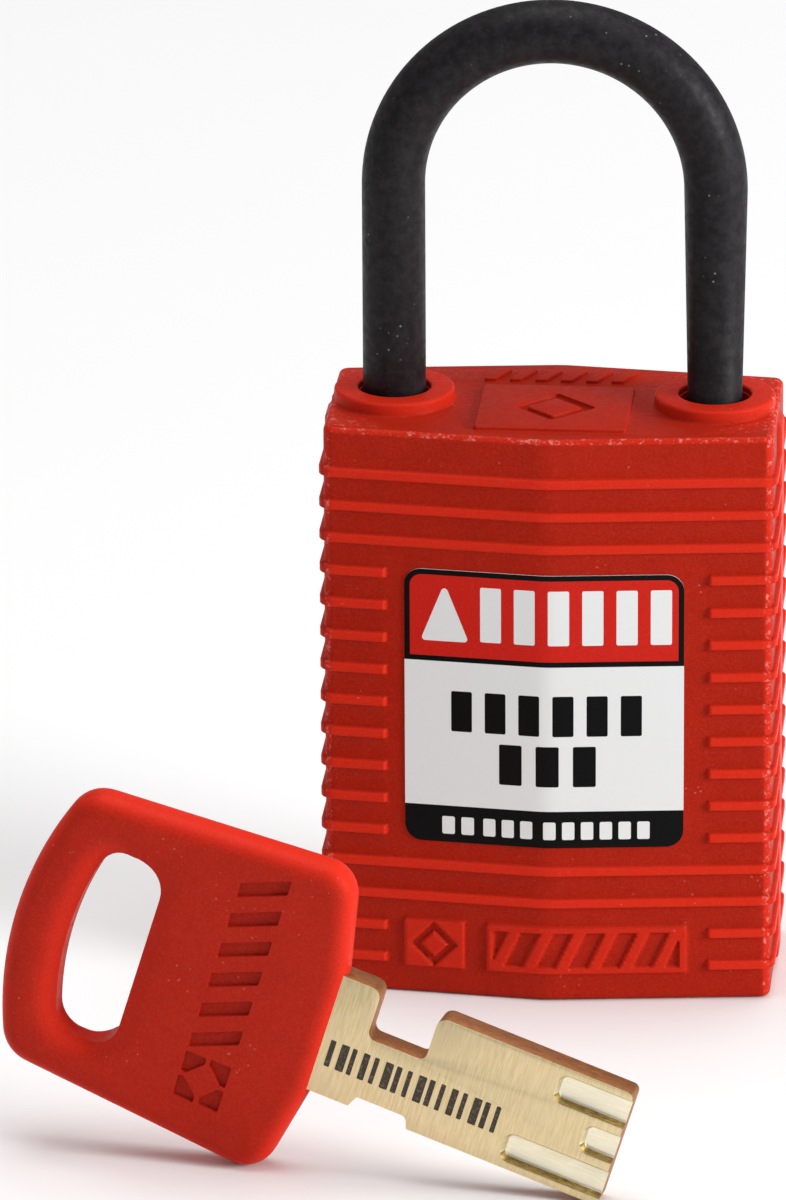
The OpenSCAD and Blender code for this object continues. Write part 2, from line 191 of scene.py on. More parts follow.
def cut(obj, tools, operation="DIFFERENCE"):
    """Joins or takes away closed solids, one after another, and removes them."""
    for tool in tools:
        face_outward(tool)
        step = obj.modifiers.new("step", "BOOLEAN")
        step.operation = operation
        step.solver = "MANIFOLD"
        step.object = tool
    bake_modifiers(obj)
    for tool in tools:
        bpy.data.objects.remove(tool)
    return obj


def points_mm(obj):
    """The mesh's points as three rows, x, y and z, in millimetres."""
    co = np.zeros(len(obj.data.vertices) * 3)
    obj.data.vertices.foreach_get("co", co)
    return co.reshape(-1, 3).T / MM


def store(obj, name, values):
    """Keeps one number per point under a name that a material can read."""
    layer = obj.data.attributes.new(name, "FLOAT", "POINT")
    layer.data.foreach_set("value", values.astype(np.float32))


def level(outline, z):
    """An outline as a ring at height z."""
    return [(x, y, z) for x, y in outline]


def upright(outline, y):
    """An outline of the key, drawn in X and Z, as a ring at depth y."""
    return [(u, y, v) for u, v in outline]


def ring_solid(name, rings, smooth_angle=50):
    """A closed solid through rings that have the same number of points, with flat ends."""
    count = len(rings[0])
    verts = [p for ring in rings for p in ring]
    faces = []
    for i in range(len(rings) - 1):
        a, b = i * count, (i + 1) * count
        for k in range(count):
            n = (k + 1) % count
            faces.append((a + k, a + n, b + n, b + k))
    faces.append(tuple(range(count - 1, -1, -1)))
    faces.append(tuple(range((len(rings) - 1) * count, len(rings) * count)))
    return add_mesh(name, verts, faces, smooth_angle)


def lathe(name, profile, centre=(0, 0), sides=96):
    """A closed solid of revolution round Z from (radius, z) pairs, lowest first."""
    turn = np.linspace(0, 2 * math.pi, sides, endpoint=False)
    rings = [
        [(centre[0] + r * math.cos(a), centre[1] + r * math.sin(a), z) for a in turn] for r, z in profile
    ]
    return ring_solid(name, rings)


def arc(centre, r, start, end, steps):
    """Points of an arc, with angles in degrees."""
    return [
        (centre[0] + r * math.cos(math.radians(a)), centre[1] + r * math.sin(math.radians(a)))
        for a in np.linspace(start, end, steps + 1)
    ]


def round_corners(corners, r, grow=0.0, steps=5):
    """A convex outline, counter-clockwise, with its corners rounded to r and then grown by grow."""
    points = []
    n = len(corners)
    for i in range(n):
        p, q, s = (np.array(corners[(i + k) % n], float) for k in (-1, 0, 1))
        before, after = (q - p) / np.linalg.norm(q - p), (s - q) / np.linalg.norm(s - q)
        n1, n2 = np.array([before[1], -before[0]]), np.array([after[1], -after[0]])
        half = (n1 + n2) / (1 + n1 @ n2)
        centre = q - half * r
        a1 = math.degrees(math.atan2(n1[1], n1[0]))
        turn = math.degrees(math.acos(max(-1, min(1, n1 @ n2))))
        points += arc(centre, r + grow, a1, a1 + turn, steps)
    return points


def box_corners(x, y):
    return [(x[0], y[0]), (x[1], y[0]), (x[1], y[1]), (x[0], y[1])]


def lozenge_corners(centre, half):
    x, y = centre
    return [(x - half, y), (x, y - half), (x + half, y), (x, y + half)]


def slant_corners(x, y, width, lean):
    """A leaning bar from height y[0] to y[1], centred on x."""
    shift = lean * (y[1] - y[0]) / 2
    return [
        (x - width / 2 - shift, y[0]),
        (x + width / 2 - shift, y[0]),
        (x + width / 2 + shift, y[1]),
        (x - width / 2 + shift, y[1]),
    ]


def smoothstep(x):
    t = np.clip(x, 0, 1)
    return t * t * (3 - 2 * t)


def rise(distance, width):
    """0 outside an edge, 1 inside it, soft over width. distance is positive inside."""
    return smoothstep(distance / width + 0.5)


# ---------- plan of the body


def front_line(x):
    """y and outward normal of the front at x, with its soft ridge."""
    x = np.asarray(x, float)
    centre_y = RIDGE_R / math.cos(FACET) - RIDGE_Y
    near = np.abs(x) < RIDGE_R * math.sin(FACET)
    y_arc = centre_y - np.sqrt(np.maximum(RIDGE_R**2 - x * x, 0))
    y_flat = np.abs(x) * math.tan(FACET) - RIDGE_Y
    y = np.where(near, y_arc, y_flat)
    nx = np.where(near, x / RIDGE_R, np.sign(x) * math.sin(FACET))
    ny = -np.sqrt(1 - nx * nx)
    return y, nx, ny


def plan_quarter(xs):
    """Points and normals from the front ridge round the corner to the middle of the right side."""
    corner_x = HALF_W - CORNER_R
    corner_y = corner_x * math.tan(FACET) - RIDGE_Y + CORNER_R / math.cos(FACET)
    xs = [x for x in xs if x < corner_x + CORNER_R * math.sin(FACET) - 0.05]
    y, nx, ny = front_line(xs)
    rows = [(xs[i], y[i], nx[i], ny[i]) for i in range(len(xs))]
    for a in np.linspace(-90 + math.degrees(FACET), 0, 9):
        c, s = math.cos(math.radians(a)), math.sin(math.radians(a))
        rows.append((corner_x + CORNER_R * c, corner_y + CORNER_R * s, c, s))
    to_rail = list(np.linspace(corner_y, -1.9, 8)[1:])
    rail_edge = [-1.8, -1.68, -1.6, -1.52, -1.44, -1.36, -1.28, -1.16]
    for y in to_rail + rail_edge + [-0.6, 0]:
        rows.append((HALF_W, y, 1, 0))
    return rows


def spread(*stretches):
    """Values from 0 upward, in stretches of (end, step)."""
    values = [0.0]
    for end, step in stretches:
        steps = max(1, round((end - values[-1]) / step))
        values += list(np.linspace(values[-1], end, steps + 1)[1:])
    return values


def plan_loop():
    """The whole plan, counter-clockwise from the front ridge: columns of x, y, normal x, normal y."""
    fine = spread((11.0, 0.17), (11.7, 0.23), (12.3, 0.075), (16.5, 0.6))
    rough = spread((0.9, 0.3), (11.7, 1.8), (12.3, 0.1), (16.5, 1.2))
    front = plan_quarter(fine)
    back = [(x, -y, nx, -ny) for x, y, nx, ny in plan_quarter(rough)]
    right = front + back[-2::-1]
    left = [(-x, y, -nx, ny) for x, y, nx, ny in right[-2:0:-1]]
    return np.array(right + left)


# ---------- body skin


def is_full(i):
    """True for the ribs that run right across the front. Rib 0 is the lowest."""
    return i in (2, 3) or i > 12


def rib_profile(dz):
    """Height of a rib, from 0 to 1, at a distance dz from its middle."""
    return smoothstep((RIB_H / 2 + 0.07 - np.abs(dz)) / 0.2)


def box_inside(x, z, bx, bz):
    """Distance inside a box, negative outside."""
    return np.minimum(
        (bx[1] - bx[0]) / 2 - np.abs(x - (bx[0] + bx[1]) / 2),
        (bz[1] - bz[0]) / 2 - np.abs(z - (bz[0] + bz[1]) / 2),
    )


def lozenge_inside(x, z, centre, half):
    """Distance inside a lozenge, negative outside."""
    return (half - np.abs(x - centre[0]) - np.abs(z - centre[1])) / math.sqrt(2)


def slanted_inside(x, z, centre, width):
    """Distance inside a leaning bar that crosses the nameplate."""
    mid_z = (PLATE_Z[0] + PLATE_Z[1]) / 2
    along = (x - centre - SLANT * (z - mid_z)) / math.hypot(1, SLANT)
    return width / 2 - np.abs(along)


def front_relief(x, z):
    """Height, from 0 to 1, of the badge and the nameplate low on the front."""
    soft = 0.16
    middle = ((BADGE_X[0] + BADGE_X[1]) / 2, (PLATE_Z[0] + PLATE_Z[1]) / 2)
    badge = rise(box_inside(x, z, BADGE_X, PLATE_Z), soft)
    outer, inner = (rise(lozenge_inside(x, z, middle, half), soft) for half in (1.75, 1.05))
    badge = badge * (1 - (outer - inner))
    plate = box_inside(x, z, NAME_X, PLATE_Z)
    border, pitch, width = 0.55, 2.4, 0.9
    name = rise(plate, soft) * rise(border - plate, soft)
    mid = (NAME_X[0] + NAME_X[1]) / 2
    for k in range(BARS):
        bar = rise(slanted_inside(x, z, mid + pitch * (k - 2.5), width), soft)
        name = np.maximum(name, bar * rise(plate, soft))
    return np.maximum(badge, name)


def skin_height(x, y, z, front):
    """How far the skin stands out of the plain body, in millimetres."""
    ribs = np.zeros_like(x)
    ends = smoothstep((np.abs(x) - RIB_STOP + 0.1) / 0.28)
    for i in range(RIB_COUNT):
        rib = rib_profile(z - RIB_LOW - i * RIB_PITCH)
        ribs = np.maximum(ribs, rib if is_full(i) else rib * ends)
    on_side = np.abs(x) > HALF_W - 0.01
    rail = np.where(on_side, rise(1.5 - np.abs(y), 0.3), 0)
    rail = rail * rise(z - 1.0, 0.5) * rise(BODY_H - 0.9 - z, 0.5)
    relief = np.where(front, front_relief(x, z), 0)
    return np.maximum(np.maximum(ribs, rail) * RIB_OUT, relief * RELIEF_H)


def skin_rows():
    """Heights at which the skin is sampled, closest where it bends."""
    steps = (0, 0.2, 0.27, 0.31, 0.35, 0.39, 0.43, 0.48)
    rows = set()
    for i in range(RIB_COUNT):
        middle = RIB_LOW + i * RIB_PITCH
        rows |= {round(middle + s * d, 3) for d in steps for s in (-1, 1)}
        rows.add(round(middle + RIB_PITCH / 2, 3))
    for z in np.arange(PLATE_Z[0] - 0.15, PLATE_Z[1] + 0.2, 0.12):
        if min(abs(z - r) for r in rows) > 0.045:
            rows.add(round(float(z), 3))
    rail_ends = {0.7, 0.85, 1.0, 1.15, 1.3, 43.2, 43.4, 43.6, 43.8}
    rows |= rail_ends
    return sorted(r for r in rows if FOOT_R < r < BODY_H - EDGE_R)


def body_skin():
    """The outside of the body with its ribs, rails and relief, rounded at its foot and top."""
    plan = plan_loop()
    x, y, nx, ny = plan.T
    front = ny < -0.5
    rings = []

    def ring(z, inset):
        out = skin_height(x, y, np.full_like(x, z), front) - inset
        rings.append([(x[k] + nx[k] * out[k], y[k] + ny[k] * out[k], z) for k in range(len(x))])

    for a in np.radians([90, 70, 50, 30, 15]):
        ring(FOOT_R * (1 - math.sin(a)), FOOT_R * (1 - math.cos(a)))
    for z in [FOOT_R] + skin_rows() + [BODY_H - EDGE_R]:
        ring(z, 0)
    for a in np.radians([15, 30, 45, 60, 75, 90]):
        ring(BODY_H - EDGE_R + EDGE_R * math.sin(a), EDGE_R * (1 - math.cos(a)))
    return ring_solid("body_skin", rings, 55)


def island(name, outline, height, soft=0.12, flare=0.12):
    """A raised shape on the top face, with a soft upper edge and a small flare at its foot."""
    top = BODY_H
    root = 0.4  # how deep it starts in the body
    rings = [level(outline(0), top - root)]
    for a in (0, 30, 60, 90):
        grow = flare * (1 - math.sin(math.radians(a)))
        z = top - 0.01 + flare * (1 - math.cos(math.radians(a)))
        rings.append(level(outline(grow), z))
    for a in (0, 30, 60, 90):
        grow = soft * (math.cos(math.radians(a)) - 1)
        z = top + height - soft + soft * math.sin(math.radians(a))
        rings.append(level(outline(grow), z))
    return ring_solid(name, rings)


def pit(name, outline, floor, height=1.0, soft=0.08):
    """A closed solid that sinks a shape into the top face, slightly wider at its mouth."""
    rings = [level(outline(-soft), floor), level(outline(0), floor + soft)]
    rings.append(level(outline(0.1), floor + height))
    return ring_solid(name, rings)


def collar(side):
    """A raised ring round a leg, with a rounded rim."""
    r = 0.25
    foot = 0.18
    profile = [(COLLAR_R, BODY_H - 1)]
    profile += [
        (COLLAR_R + foot * (1 - math.sin(a)), BODY_H + foot * (1 - math.cos(a)))
        for a in (0, 0.5, 1, 1.57)
    ]
    profile += [
        (COLLAR_R - r * (1 - math.cos(a)), BODY_H + COLLAR_H - r + r * math.sin(a))
        for a in np.radians([0, 22, 45, 67, 90])
    ]
    return lathe("collar", profile, (side * LEG_X, 0), 128)


def leg_mouth(side, low):
    """The bore of a leg with its wider, rounded mouth."""
    top = BODY_H + COLLAR_H
    r = 0.15
    profile = [(LEG_BORE_R, low), (LEG_BORE_R, top - 0.5), (MOUTH_R, top - 0.49)]
    profile += [
        (MOUTH_R + r * (1 - math.cos(a)), top - r + r * math.sin(a))
        for a in np.radians([0, 30, 60, 85])
    ]
    profile += [(MOUTH_R + r, top + 1)]
    return lathe("mouth", profile, (side * LEG_X, 0))


def rod(name, r, start, end, sides=64):
    """A closed cylinder between two points."""
    start, end = Vector(start), Vector(end)
    turn = (end - start).to_track_quat("Z", "Y").to_matrix()
    rings = []
    for p in (start, end):
        ring = []
        for a in np.linspace(0, 2 * math.pi, sides, endpoint=False):
            ring.append(tuple(p + turn @ Vector((r * math.cos(a), r * math.sin(a), 0))))
        rings.append(ring)
    return ring_solid(name, rings)


def cover_recess(high):
    """The shallow recess that the bottom cover sits in."""
    x = HALF_W - COVER_INSET
    ridge = RIDGE_Y - COVER_INSET
    side = ridge - x * math.tan(FACET)
    corners = [(-x, -side), (0, -ridge), (x, -side), (x, side), (0, ridge), (-x, side)]
    outline = round_corners(corners, 0.3)
    return ring_solid("recess", [level(outline, z) for z in (-1, high)])


def top_relief(body):
    """Raises the collars, and the generic pad, lozenge and bars, on the top face."""
    pad_box = box_corners((-5.5, 5.8), (-7.0, 2.9))
    pad = island("pad", lambda g: round_corners(pad_box, 0.3, g), RELIEF_H)
    raised = [pad, collar(-1), collar(1)]
    pitch, width = 1.9, 0.95
    for k in range(BARS):
        bar = slant_corners(EMBLEM_AT[0] + pitch * (k - 2.5), (4.2, 6.6), width, SLANT)
        raised.append(island("bar", lambda g, bar=bar: round_corners(bar, 0.15, g, 3), RELIEF_H))
    cut(body, raised, "UNION")
    outer, inner = lozenge_corners(EMBLEM_AT, 3.1), lozenge_corners(EMBLEM_AT, 2.1)
    cut(body, [pit("pit", lambda g: round_corners(outer, 0.3, g), BODY_H)])
    left = island("inner", lambda g: round_corners(inner, 0.3, g), RELIEF_H - 0.02)
    cut(body, [left], "UNION")


def body_piece():
    """The body: its skin, the relief on its top, and the bores for the mechanism."""
    body = body_skin()
    top_relief(body)
    bores = [
        cover_recess(node_box("bottom_cover")[1][2]),
        lathe("well", [(WELL_R, BORE_FLOOR), (WELL_R, WELL_TOP)]),
        leg_mouth(-1, BORE_FLOOR),
        leg_mouth(1, TOE_BORE_LOW),
        lathe("chamber", [(CHAMBER_R, BORE_FLOOR + 0.1), (CHAMBER_R, CHAMBER_TOP)], (-LEG_X, 0)),
        rod("cross", CROSS_BORE_R, (-LEG_X, 0, BALL_Z), (LEG_X, 0, BALL_Z)),
    ]
    for place in SCREWS:
        bores.append(lathe("screw_hole", [(SCREW_R, BORE_FLOOR), (SCREW_R, SCREW_TOP)], place, 32))
    cut(body, bores)
    smooth(body, 50)
    mark_raised(body)
    return body


def mark_raised(body):
    """Stores on each point a painted highlight that grows with how far it stands out, and marks the top edge
    and corners for wear and a painted highlight, for the material.
    """
    x, y, z = points_mm(body)
    base_y, _, ny = front_line(x)
    proud = np.maximum(np.abs(y) + base_y, np.abs(x) - HALF_W)
    # painted highlight: ribs, rails and relief are coloured brighter the further they stand out
    value = smoothstep(np.clip(proud, 0, 0.35) / 0.3)
    on_plate = (z > PLATE_Z[0] - 0.2) & (z < PLATE_Z[1] + 0.2) & (x > -11) & (x < 10.7)
    value = np.where(on_plate, value * 0.7, value)
    # painted highlight on the collars, and a weaker one on the pad, bars and lozenge
    collar_or_pad = np.where(np.abs(x) > 7, 0.8, 0.2) * smoothstep((z - BODY_H) / RELIEF_H)
    value = np.where(z > BODY_H + 0.02, collar_or_pad, value)
    # top edge and corners: real wear, and a painted highlight band along them
    top_edge = (z > BODY_H - 0.34) & (z < BODY_H - 0.02) & (ny < 0)
    corner = (np.abs(x) > HALF_W - 0.55) & (np.abs(x) < HALF_W - 0.04)
    edge_wear_and_highlight = (top_edge | corner).astype(np.float32)
    # the top edge and corners get a painted highlight band on top of the raised value
    store(body, "raised", np.maximum(value, edge_wear_and_highlight * 0.6))
    store(body, "edge_wear_and_highlight", edge_wear_and_highlight)


# ---------- label


def on_front(points, out, side):
    """Maps (x, z) points onto the front or back face, out millimetres above it."""
    x = np.array([p[0] for p in points], float)
    z = np.array([p[1] for p in points], float)
    y, nx, ny = front_line(x)
    return np.column_stack([(x + nx * out), (y + ny * out) * side, z])


def label_blocks(x, z, count, share):
    """Upright blocks in a row, which stand for printed characters."""
    pitch = (x[1] - x[0]) / (count - 1 + share)
    spans = [(x[0] + k * pitch, x[0] + (k + share) * pitch) for k in range(count)]
    return [round_corners(box_corners(span, z), 0.12, 0, 2) for span in spans]


def label_zones():
    """Printed areas as (outline, material index), the later ones on top."""
    e = LABEL_EDGE
    x0, x1 = LABEL_X
    z1 = LABEL_Z[1]
    black, red, white = 0, 1, 2
    zones = [(round_corners(box_corners(LABEL_X, LABEL_Z), LABEL_R, 0, 10), black)]
    header = [(x0 + e, HEADER_Z + e), (x1 - e, HEADER_Z + e)]
    r = LABEL_R - e
    header += arc((x1 - e - r, z1 - e - r), r, 0, 90, 8)
    header += arc((x0 + e + r, z1 - e - r), r, 90, 180, 8)
    zones.append((header, red))
    zones.append((box_corners(LABEL_X, (FOOTER_Z, HEADER_Z)), white))
    triangle = [(-9.4, 28.3), (-5.75, 28.3), (-7.575, 32.9)]
    zones.append((round_corners(triangle, 0.25, 0, 4), white))
    share = 0.62
    zones += [(b, white) for b in label_blocks((-4.9, 9.3), (28.4, 32.7), 6, share)]
    zones += [(b, black) for b in label_blocks((-7.1, 7.1), (21.2, 24.4), 6, share)]
    zones += [(b, black) for b in label_blocks((-3.5, 3.7), (17.2, 20.4), 3, share)]
    for x, count in (((-7.8, -5.4), 2), ((-4.7, -1.0), 3), ((-0.2, 7.7), 6)):
        zones += [(b, white) for b in label_blocks(x, (13.0, 14.4), count, 0.66)]
    return zones


def back_zones():
    """A plain write-on label: a white field with a dark border. Same form as label_zones."""
    zones = [(round_corners(box_corners(LABEL_X, LABEL_Z), LABEL_R, 0, 10), 0)]
    inner_x = (LABEL_X[0] + LABEL_EDGE, LABEL_X[1] - LABEL_EDGE)
    inner_z = (LABEL_Z[0] + LABEL_EDGE, LABEL_Z[1] - LABEL_EDGE)
    zones.append((round_corners(box_corners(inner_x, inner_z), LABEL_R - LABEL_EDGE, 0, 8), 2))
    return zones


def inside(point, outline):
    """True if the point lies in the closed outline."""
    x, y = point
    hit = False
    for i in range(len(outline)):
        (x0, y0), (x1, y1) = outline[i - 1], outline[i]
        if (y0 > y) != (y1 > y) and x < (x1 - x0) * (y - y0) / (y1 - y0) + x0:
            hit = not hit
    return hit


def sheet(outlines, cuts=()):
    """Triangles that follow every outline, with extra straight cuts. Gives points and triangles."""
    verts, edges = [], []
    for outline in outlines:
        first = len(verts)
        verts += [Vector(p) for p in outline]
        edges += [(first + k, first + (k + 1) % len(outline)) for k in range(len(outline))]
    for a, b in cuts:
        edges.append((len(verts), len(verts) + 1))
        verts += [Vector(a), Vector(b)]
    points, _, triangles, _, _, _ = delaunay_2d_cdt(verts, edges, [], 0, 1e-5)
    return [(p.x, p.y) for p in points], [tuple(t) for t in triangles]


def label_piece(name, zones, side):
    """A thin printed sheet that follows the two facets and the soft ridge between them."""
    bend = RIDGE_R * math.sin(FACET)
    cuts = [((x, LABEL_Z[0] - 1), (x, LABEL_Z[1] + 1)) for x in np.linspace(-bend, bend, 9)]
    points, triangles = sheet([z[0] for z in zones], cuts)
    outer = zones[0][0]
    kept, slots = [], []
    for t in triangles:
        middle = np.mean([points[k] for k in t], axis=0)
        if inside(middle, outer):
            kept.append(t)
            slots.append([slot for outline, slot in zones if inside(middle, outline)][-1])
    top = on_front(points, LABEL_T, side)
    low = on_front(points, 0.005, side)
    count = len(points)
    edges = [(t[k - 1], t[k]) for t in kept for k in (1, 2, 0)]
    inward = {(b, a) for a, b in edges}
    rim = [edge for edge in edges if edge not in inward]
    faces = list(kept) + [(t[2] + count, t[1] + count, t[0] + count) for t in kept]
    faces += [(b, a, a + count, b + count) for a, b in rim]
    if side < 0:
        faces = [f[::-1] for f in faces]
    label = add_mesh(name, np.vstack([top, low]), faces, 40)
    white = 2
    for i, polygon in enumerate(label.data.polygons):
        polygon.material_index = slots[i % len(kept)] if i < len(kept) * 2 else white
    return label


# ---------- shackle


def shackle_piece():
    """The rod from the toe leg's end over the arch to the heel leg's end."""
    low, high = node_box("shackle")
    heel_low = low[2]
    arch_z = high[2] - LEG_X - ROD_R
    rings = []
    turn = np.linspace(0, 2 * math.pi, 64, endpoint=False)

    def ring(centre, across, r):
        """A ring of radius r whose plane holds `across` and the Y axis."""
        (x, z), (ax, az) = centre, across
        rings.append(
            [(x + ax * r * math.cos(a), r * math.sin(a), z + az * r * math.cos(a)) for a in turn]
        )

    # Known fault: these rings narrow on their way up, so the toe leg tapers from the arch down
    # to them. A rounded end needs the radius ROD_R - edge * (1 - math.cos(a)).
    edge = 0.5
    for a in np.radians([90, 67, 45, 22, 0]):
        inset = edge * (1 - math.sin(a))
        ring((LEG_X, TOE_LOW + inset), (1, 0), ROD_R - inset)
    for a in np.linspace(0, math.pi, 73):
        ring((LEG_X * math.cos(a), arch_z + LEG_X * math.sin(a)), (math.cos(a), math.sin(a)), ROD_R)
    lip, floor_r, end = ROD_R - 0.1, 1.8, 0.4
    groove = [(15.15, ROD_R), (15.05, lip), (15.05, floor_r)]
    groove += [(14.15, floor_r), (14.15, lip), (14.05, ROD_R)]
    for z, r in groove + [(heel_low + end, ROD_R), (heel_low, ROD_R - end)]:
        ring((-LEG_X, z), (-1, 0), r)
    shackle = ring_solid("shackle_rod", rings, 50)
    cut(shackle, [ball_path(-1), ball_path(1)])
    smooth(shackle, 50)
    return shackle


def ball_path(side):
    """The pocket and sloping groove that a locking ball runs in."""
    low, high = node_box("ball_toe")
    centre = (low + high) / 2
    clearance = 0.1
    r = (high[2] - low[2]) / 2 + clearance
    ball_travel, shackle_travel, length = 1.5, 10.5, 12.6
    tilt = side * math.atan2(ball_travel, shackle_travel)
    profile = [(r * math.sin(a), r * math.cos(a)) for a in np.linspace(0.02, math.pi / 2, 16)]
    profile.append((r, -length))
    turn = np.linspace(0, 2 * math.pi, 48, endpoint=False)
    rings = []
    for pr, pz in profile:
        ring = []
        for a in turn:
            x, y, z = pr * math.cos(a), pr * math.sin(a), pz
            xr = x * math.cos(tilt) + z * math.sin(tilt)
            zr = -x * math.sin(tilt) + z * math.cos(tilt)
            ring.append((side * centre[0] + xr, y, centre[2] + zr))
        rings.append(ring)
    return ring_solid("path", rings[::-1])


# ---------- slider springs


def spring_piece(i):
    """A coil spring that fills the box of its CAD node."""
    low, high = node_box("slider_spring_%d" % i)
    wire = 0.12
    turns, steps, sides = 7, 24, 10
    centre = (low + high) / 2
    mean_r = (high[0] - low[0]) / 2 - wire
    count = turns * steps
    rings = []
    for k in range(count + 1):
        a = 2 * math.pi * k / steps
        z = low[2] + wire + (high[2] - low[2] - 2 * wire) * k / count
        ring = []
        for b in np.linspace(0, 2 * math.pi, sides, endpoint=False):
            r = mean_r + wire * math.cos(b)
            ring.append((centre[0] + r * math.cos(a), centre[1] + r * math.sin(a), z + wire * math.sin(b)))
        rings.append(ring)
    return ring_solid("slider_coil_%d" % i, rings)


def add_slider_springs(steel):
    """Each spring's top end stays in the plug."""
    for i in (1, 2, 3):
        spring = spring_piece(i)
        face_outward(spring)
        finish_piece(spring, "plug", "bright_steel", [steel], "slider_spring_%d" % i)
        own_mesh(spring)


# ---------- key


def key_matrix():
    """Places the key, drawn flat, on its two lowest corners in front of the lock."""
    sin, cos = math.sin(KEY_TILT), math.cos(KEY_TILT)
    bow_drop = BOW_CORNER_U * sin + (BOW_W / 2 - BOW_CORNER_R) * cos + BOW_CORNER_R
    tip_drop = -TIP_R * sin + (BLADE_W / 2 - TIP_R) * cos + TIP_R
    height = max(bow_drop, tip_drop) + 0.03
    place = Matrix.Translation(Vector((*KEY_AT, height)) * MM)
    return place @ Matrix.Rotation(KEY_YAW, 4, "Z") @ Matrix.Rotation(KEY_TILT, 4, "Y")


def bow_outline(grow):
    """The bow's outline, counter-clockwise: curved free end, wide corners, sloping shoulders."""
    inner_r = BOW_END_R - BOW_TAIL_R
    tail_rise = BOW_TAIL_W / 2 - BOW_TAIL_R
    swing = math.degrees(math.asin(tail_rise / inner_r))
    end_c = (BOW_LEFT + BOW_END_R, 0)
    tail_c = (end_c[0] - inner_r * math.cos(math.radians(swing)), -tail_rise)
    wide_c = (BOW_CORNER_U, -BOW_W / 2 + BOW_CORNER_R)
    run = wide_c[0] - tail_c[0]
    drop = BOW_CORNER_R - BOW_TAIL_R - wide_c[1] + tail_c[1]
    side_slope = math.degrees(math.atan2(drop, run))
    shoulder = 11.2
    mitre = math.tan(math.radians(shoulder) / 2)
    low = arc(tail_c, BOW_TAIL_R + grow, 180 + swing, 270 - side_slope, 8)
    low += arc(wide_c, BOW_CORNER_R + grow, 270 - side_slope, 360 - shoulder, 10)
    low.append((BOW_RIGHT + grow, -BOW_NECK - grow * mitre))
    high = [(x, -y) for x, y in low[::-1]]
    end = arc(end_c, BOW_END_R + grow, 180 - swing, 180 + swing, 24)
    return end[1:-1] + low + high


def slot_outline(grow):
    """The bow's slot, counter-clockwise: one side follows the curved end, one is straight."""
    r = 2.3
    half = 7.6
    end_wall = 4.15
    right_u = -36.95
    left_r = BOW_END_R - end_wall
    centre = (BOW_LEFT + BOW_END_R, 0)
    inner = left_r - r
    swing = math.degrees(math.asin((half - r) / inner))
    low_left = (centre[0] - inner * math.cos(math.radians(swing)), -(half - r))
    low_right = (right_u - r, -(half - r))
    left = arc(centre, left_r + grow, 180 - swing, 180 + swing, 16)
    low = arc(low_left, r + grow, 180 + swing, 270, 7) + arc(low_right, r + grow, 270, 360, 9)
    high = [(x, -y) for x, y in low[::-1]]
    return left[1:-1] + low + high


def slot_normals():
    """Outward directions of the slot's outline points."""
    small, large = np.array(slot_outline(0)), np.array(slot_outline(1))
    return large - small


def bow_piece():
    """The moulded bow: rolled outer edge, and a face that dips towards the slot."""
    half = BOW_T / 2
    land = 0.25
    roll = 1.45
    verts, faces = [], []

    def add_ring(points, ys):
        first = len(verts)
        verts.extend((p[0], y, p[1]) for p, y in zip(points, ys))
        return first

    def join(a, b, count, flip=False):
        for k in range(count):
            n = (k + 1) % count
            quad = (a + k, a + n, b + n, b + k)
            faces.append(quad[::-1] if flip else quad)

    out_count = len(bow_outline(0))
    slot_count = len(slot_outline(0))
    normals = slot_normals()
    dip = 0.2 + 0.75 * smoothstep(0.55 - 0.75 * normals[:, 0] - 0.3 * normals[:, 1])
    dish = 1.95
    angles = np.radians([0, 15, 30, 45, 60, 75, 90])
    for side in (-1, 1):
        outer = []
        for a in angles:
            y = land + (half - land) * math.sin(a)
            outer.append(add_ring(bow_outline(-roll * (1 - math.cos(a))), [side * y] * out_count))
        for a, b in zip(outer, outer[1:]):
            join(a, b, out_count, side > 0)
        inner = []
        for t in np.linspace(0, 1, 9):
            ys = side * (half - dip * (1 - smoothstep(t ** 0.8)) ** 1.3)
            inner.append(add_ring(slot_outline(dish * t), ys))
        for a, b in zip(inner, inner[1:]):
            join(b, a, slot_count, side > 0)
        rim, hole = bow_outline(-roll), slot_outline(dish)
        points, triangles = sheet([rim, hole])
        index = [outer[-1] + k for k in range(out_count)]
        index += [inner[-1] + k for k in range(slot_count)]
        for t in triangles:
            middle = np.mean([points[k] for k in t], axis=0)
            if inside(middle, rim) and not inside(middle, hole):
                face = tuple(index[k] for k in t)
                faces.append(face if side < 0 else face[::-1])
        if side < 0:
            low_outer, low_inner = outer[0], inner[0]
    join(outer[0], low_outer, out_count)
    join(low_inner, inner[0], slot_count)
    bow = add_mesh("key_bow_moulding", verts, faces, 50)
    face_outward(bow)
    engraving = []
    for side in (-1, 1):
        engraving += engraved(side, half)
    cut(bow, engraving)
    socket = box_corners((BOW_RIGHT - 3, BOW_RIGHT + 1), (-BLADE_W / 2, BLADE_W / 2))
    socket_rings = [upright(socket, y) for y in (BLADE_T / 2, -BLADE_T / 2)]
    cut(bow, [ring_solid("socket", socket_rings)])
    smooth(bow, 40)
    mark_rim(bow)
    bow.matrix_world = key_matrix()
    return bow


def engraved(side, half):
    """Tools for the generic motif: a square with a lozenge left standing, and slanted bars."""
    tools = []
    u = (-31.7, -28.2)
    first, pitch, width = -3.3, 2.5, 1.15
    shapes = []
    for k in range(BARS):
        bar = slant_corners(first + pitch * k, u, width, SLANT)
        shapes.append([(p[1], p[0]) for p in bar][::-1])
    shapes += square_less_lozenge(u, (-8.7, -5.0), 1.15)
    floor = half - ENGRAVED
    for shape in shapes:
        rings = []
        for y, grow in ((floor, -0.03), (floor + 0.04, 0.0), (half + 0.5, 0.08)):
            outline = round_corners(shape, 0.1, grow, 2)
            rings.append(upright(outline, side * y))
        tools.append(ring_solid("engraving", rings))
    return tools


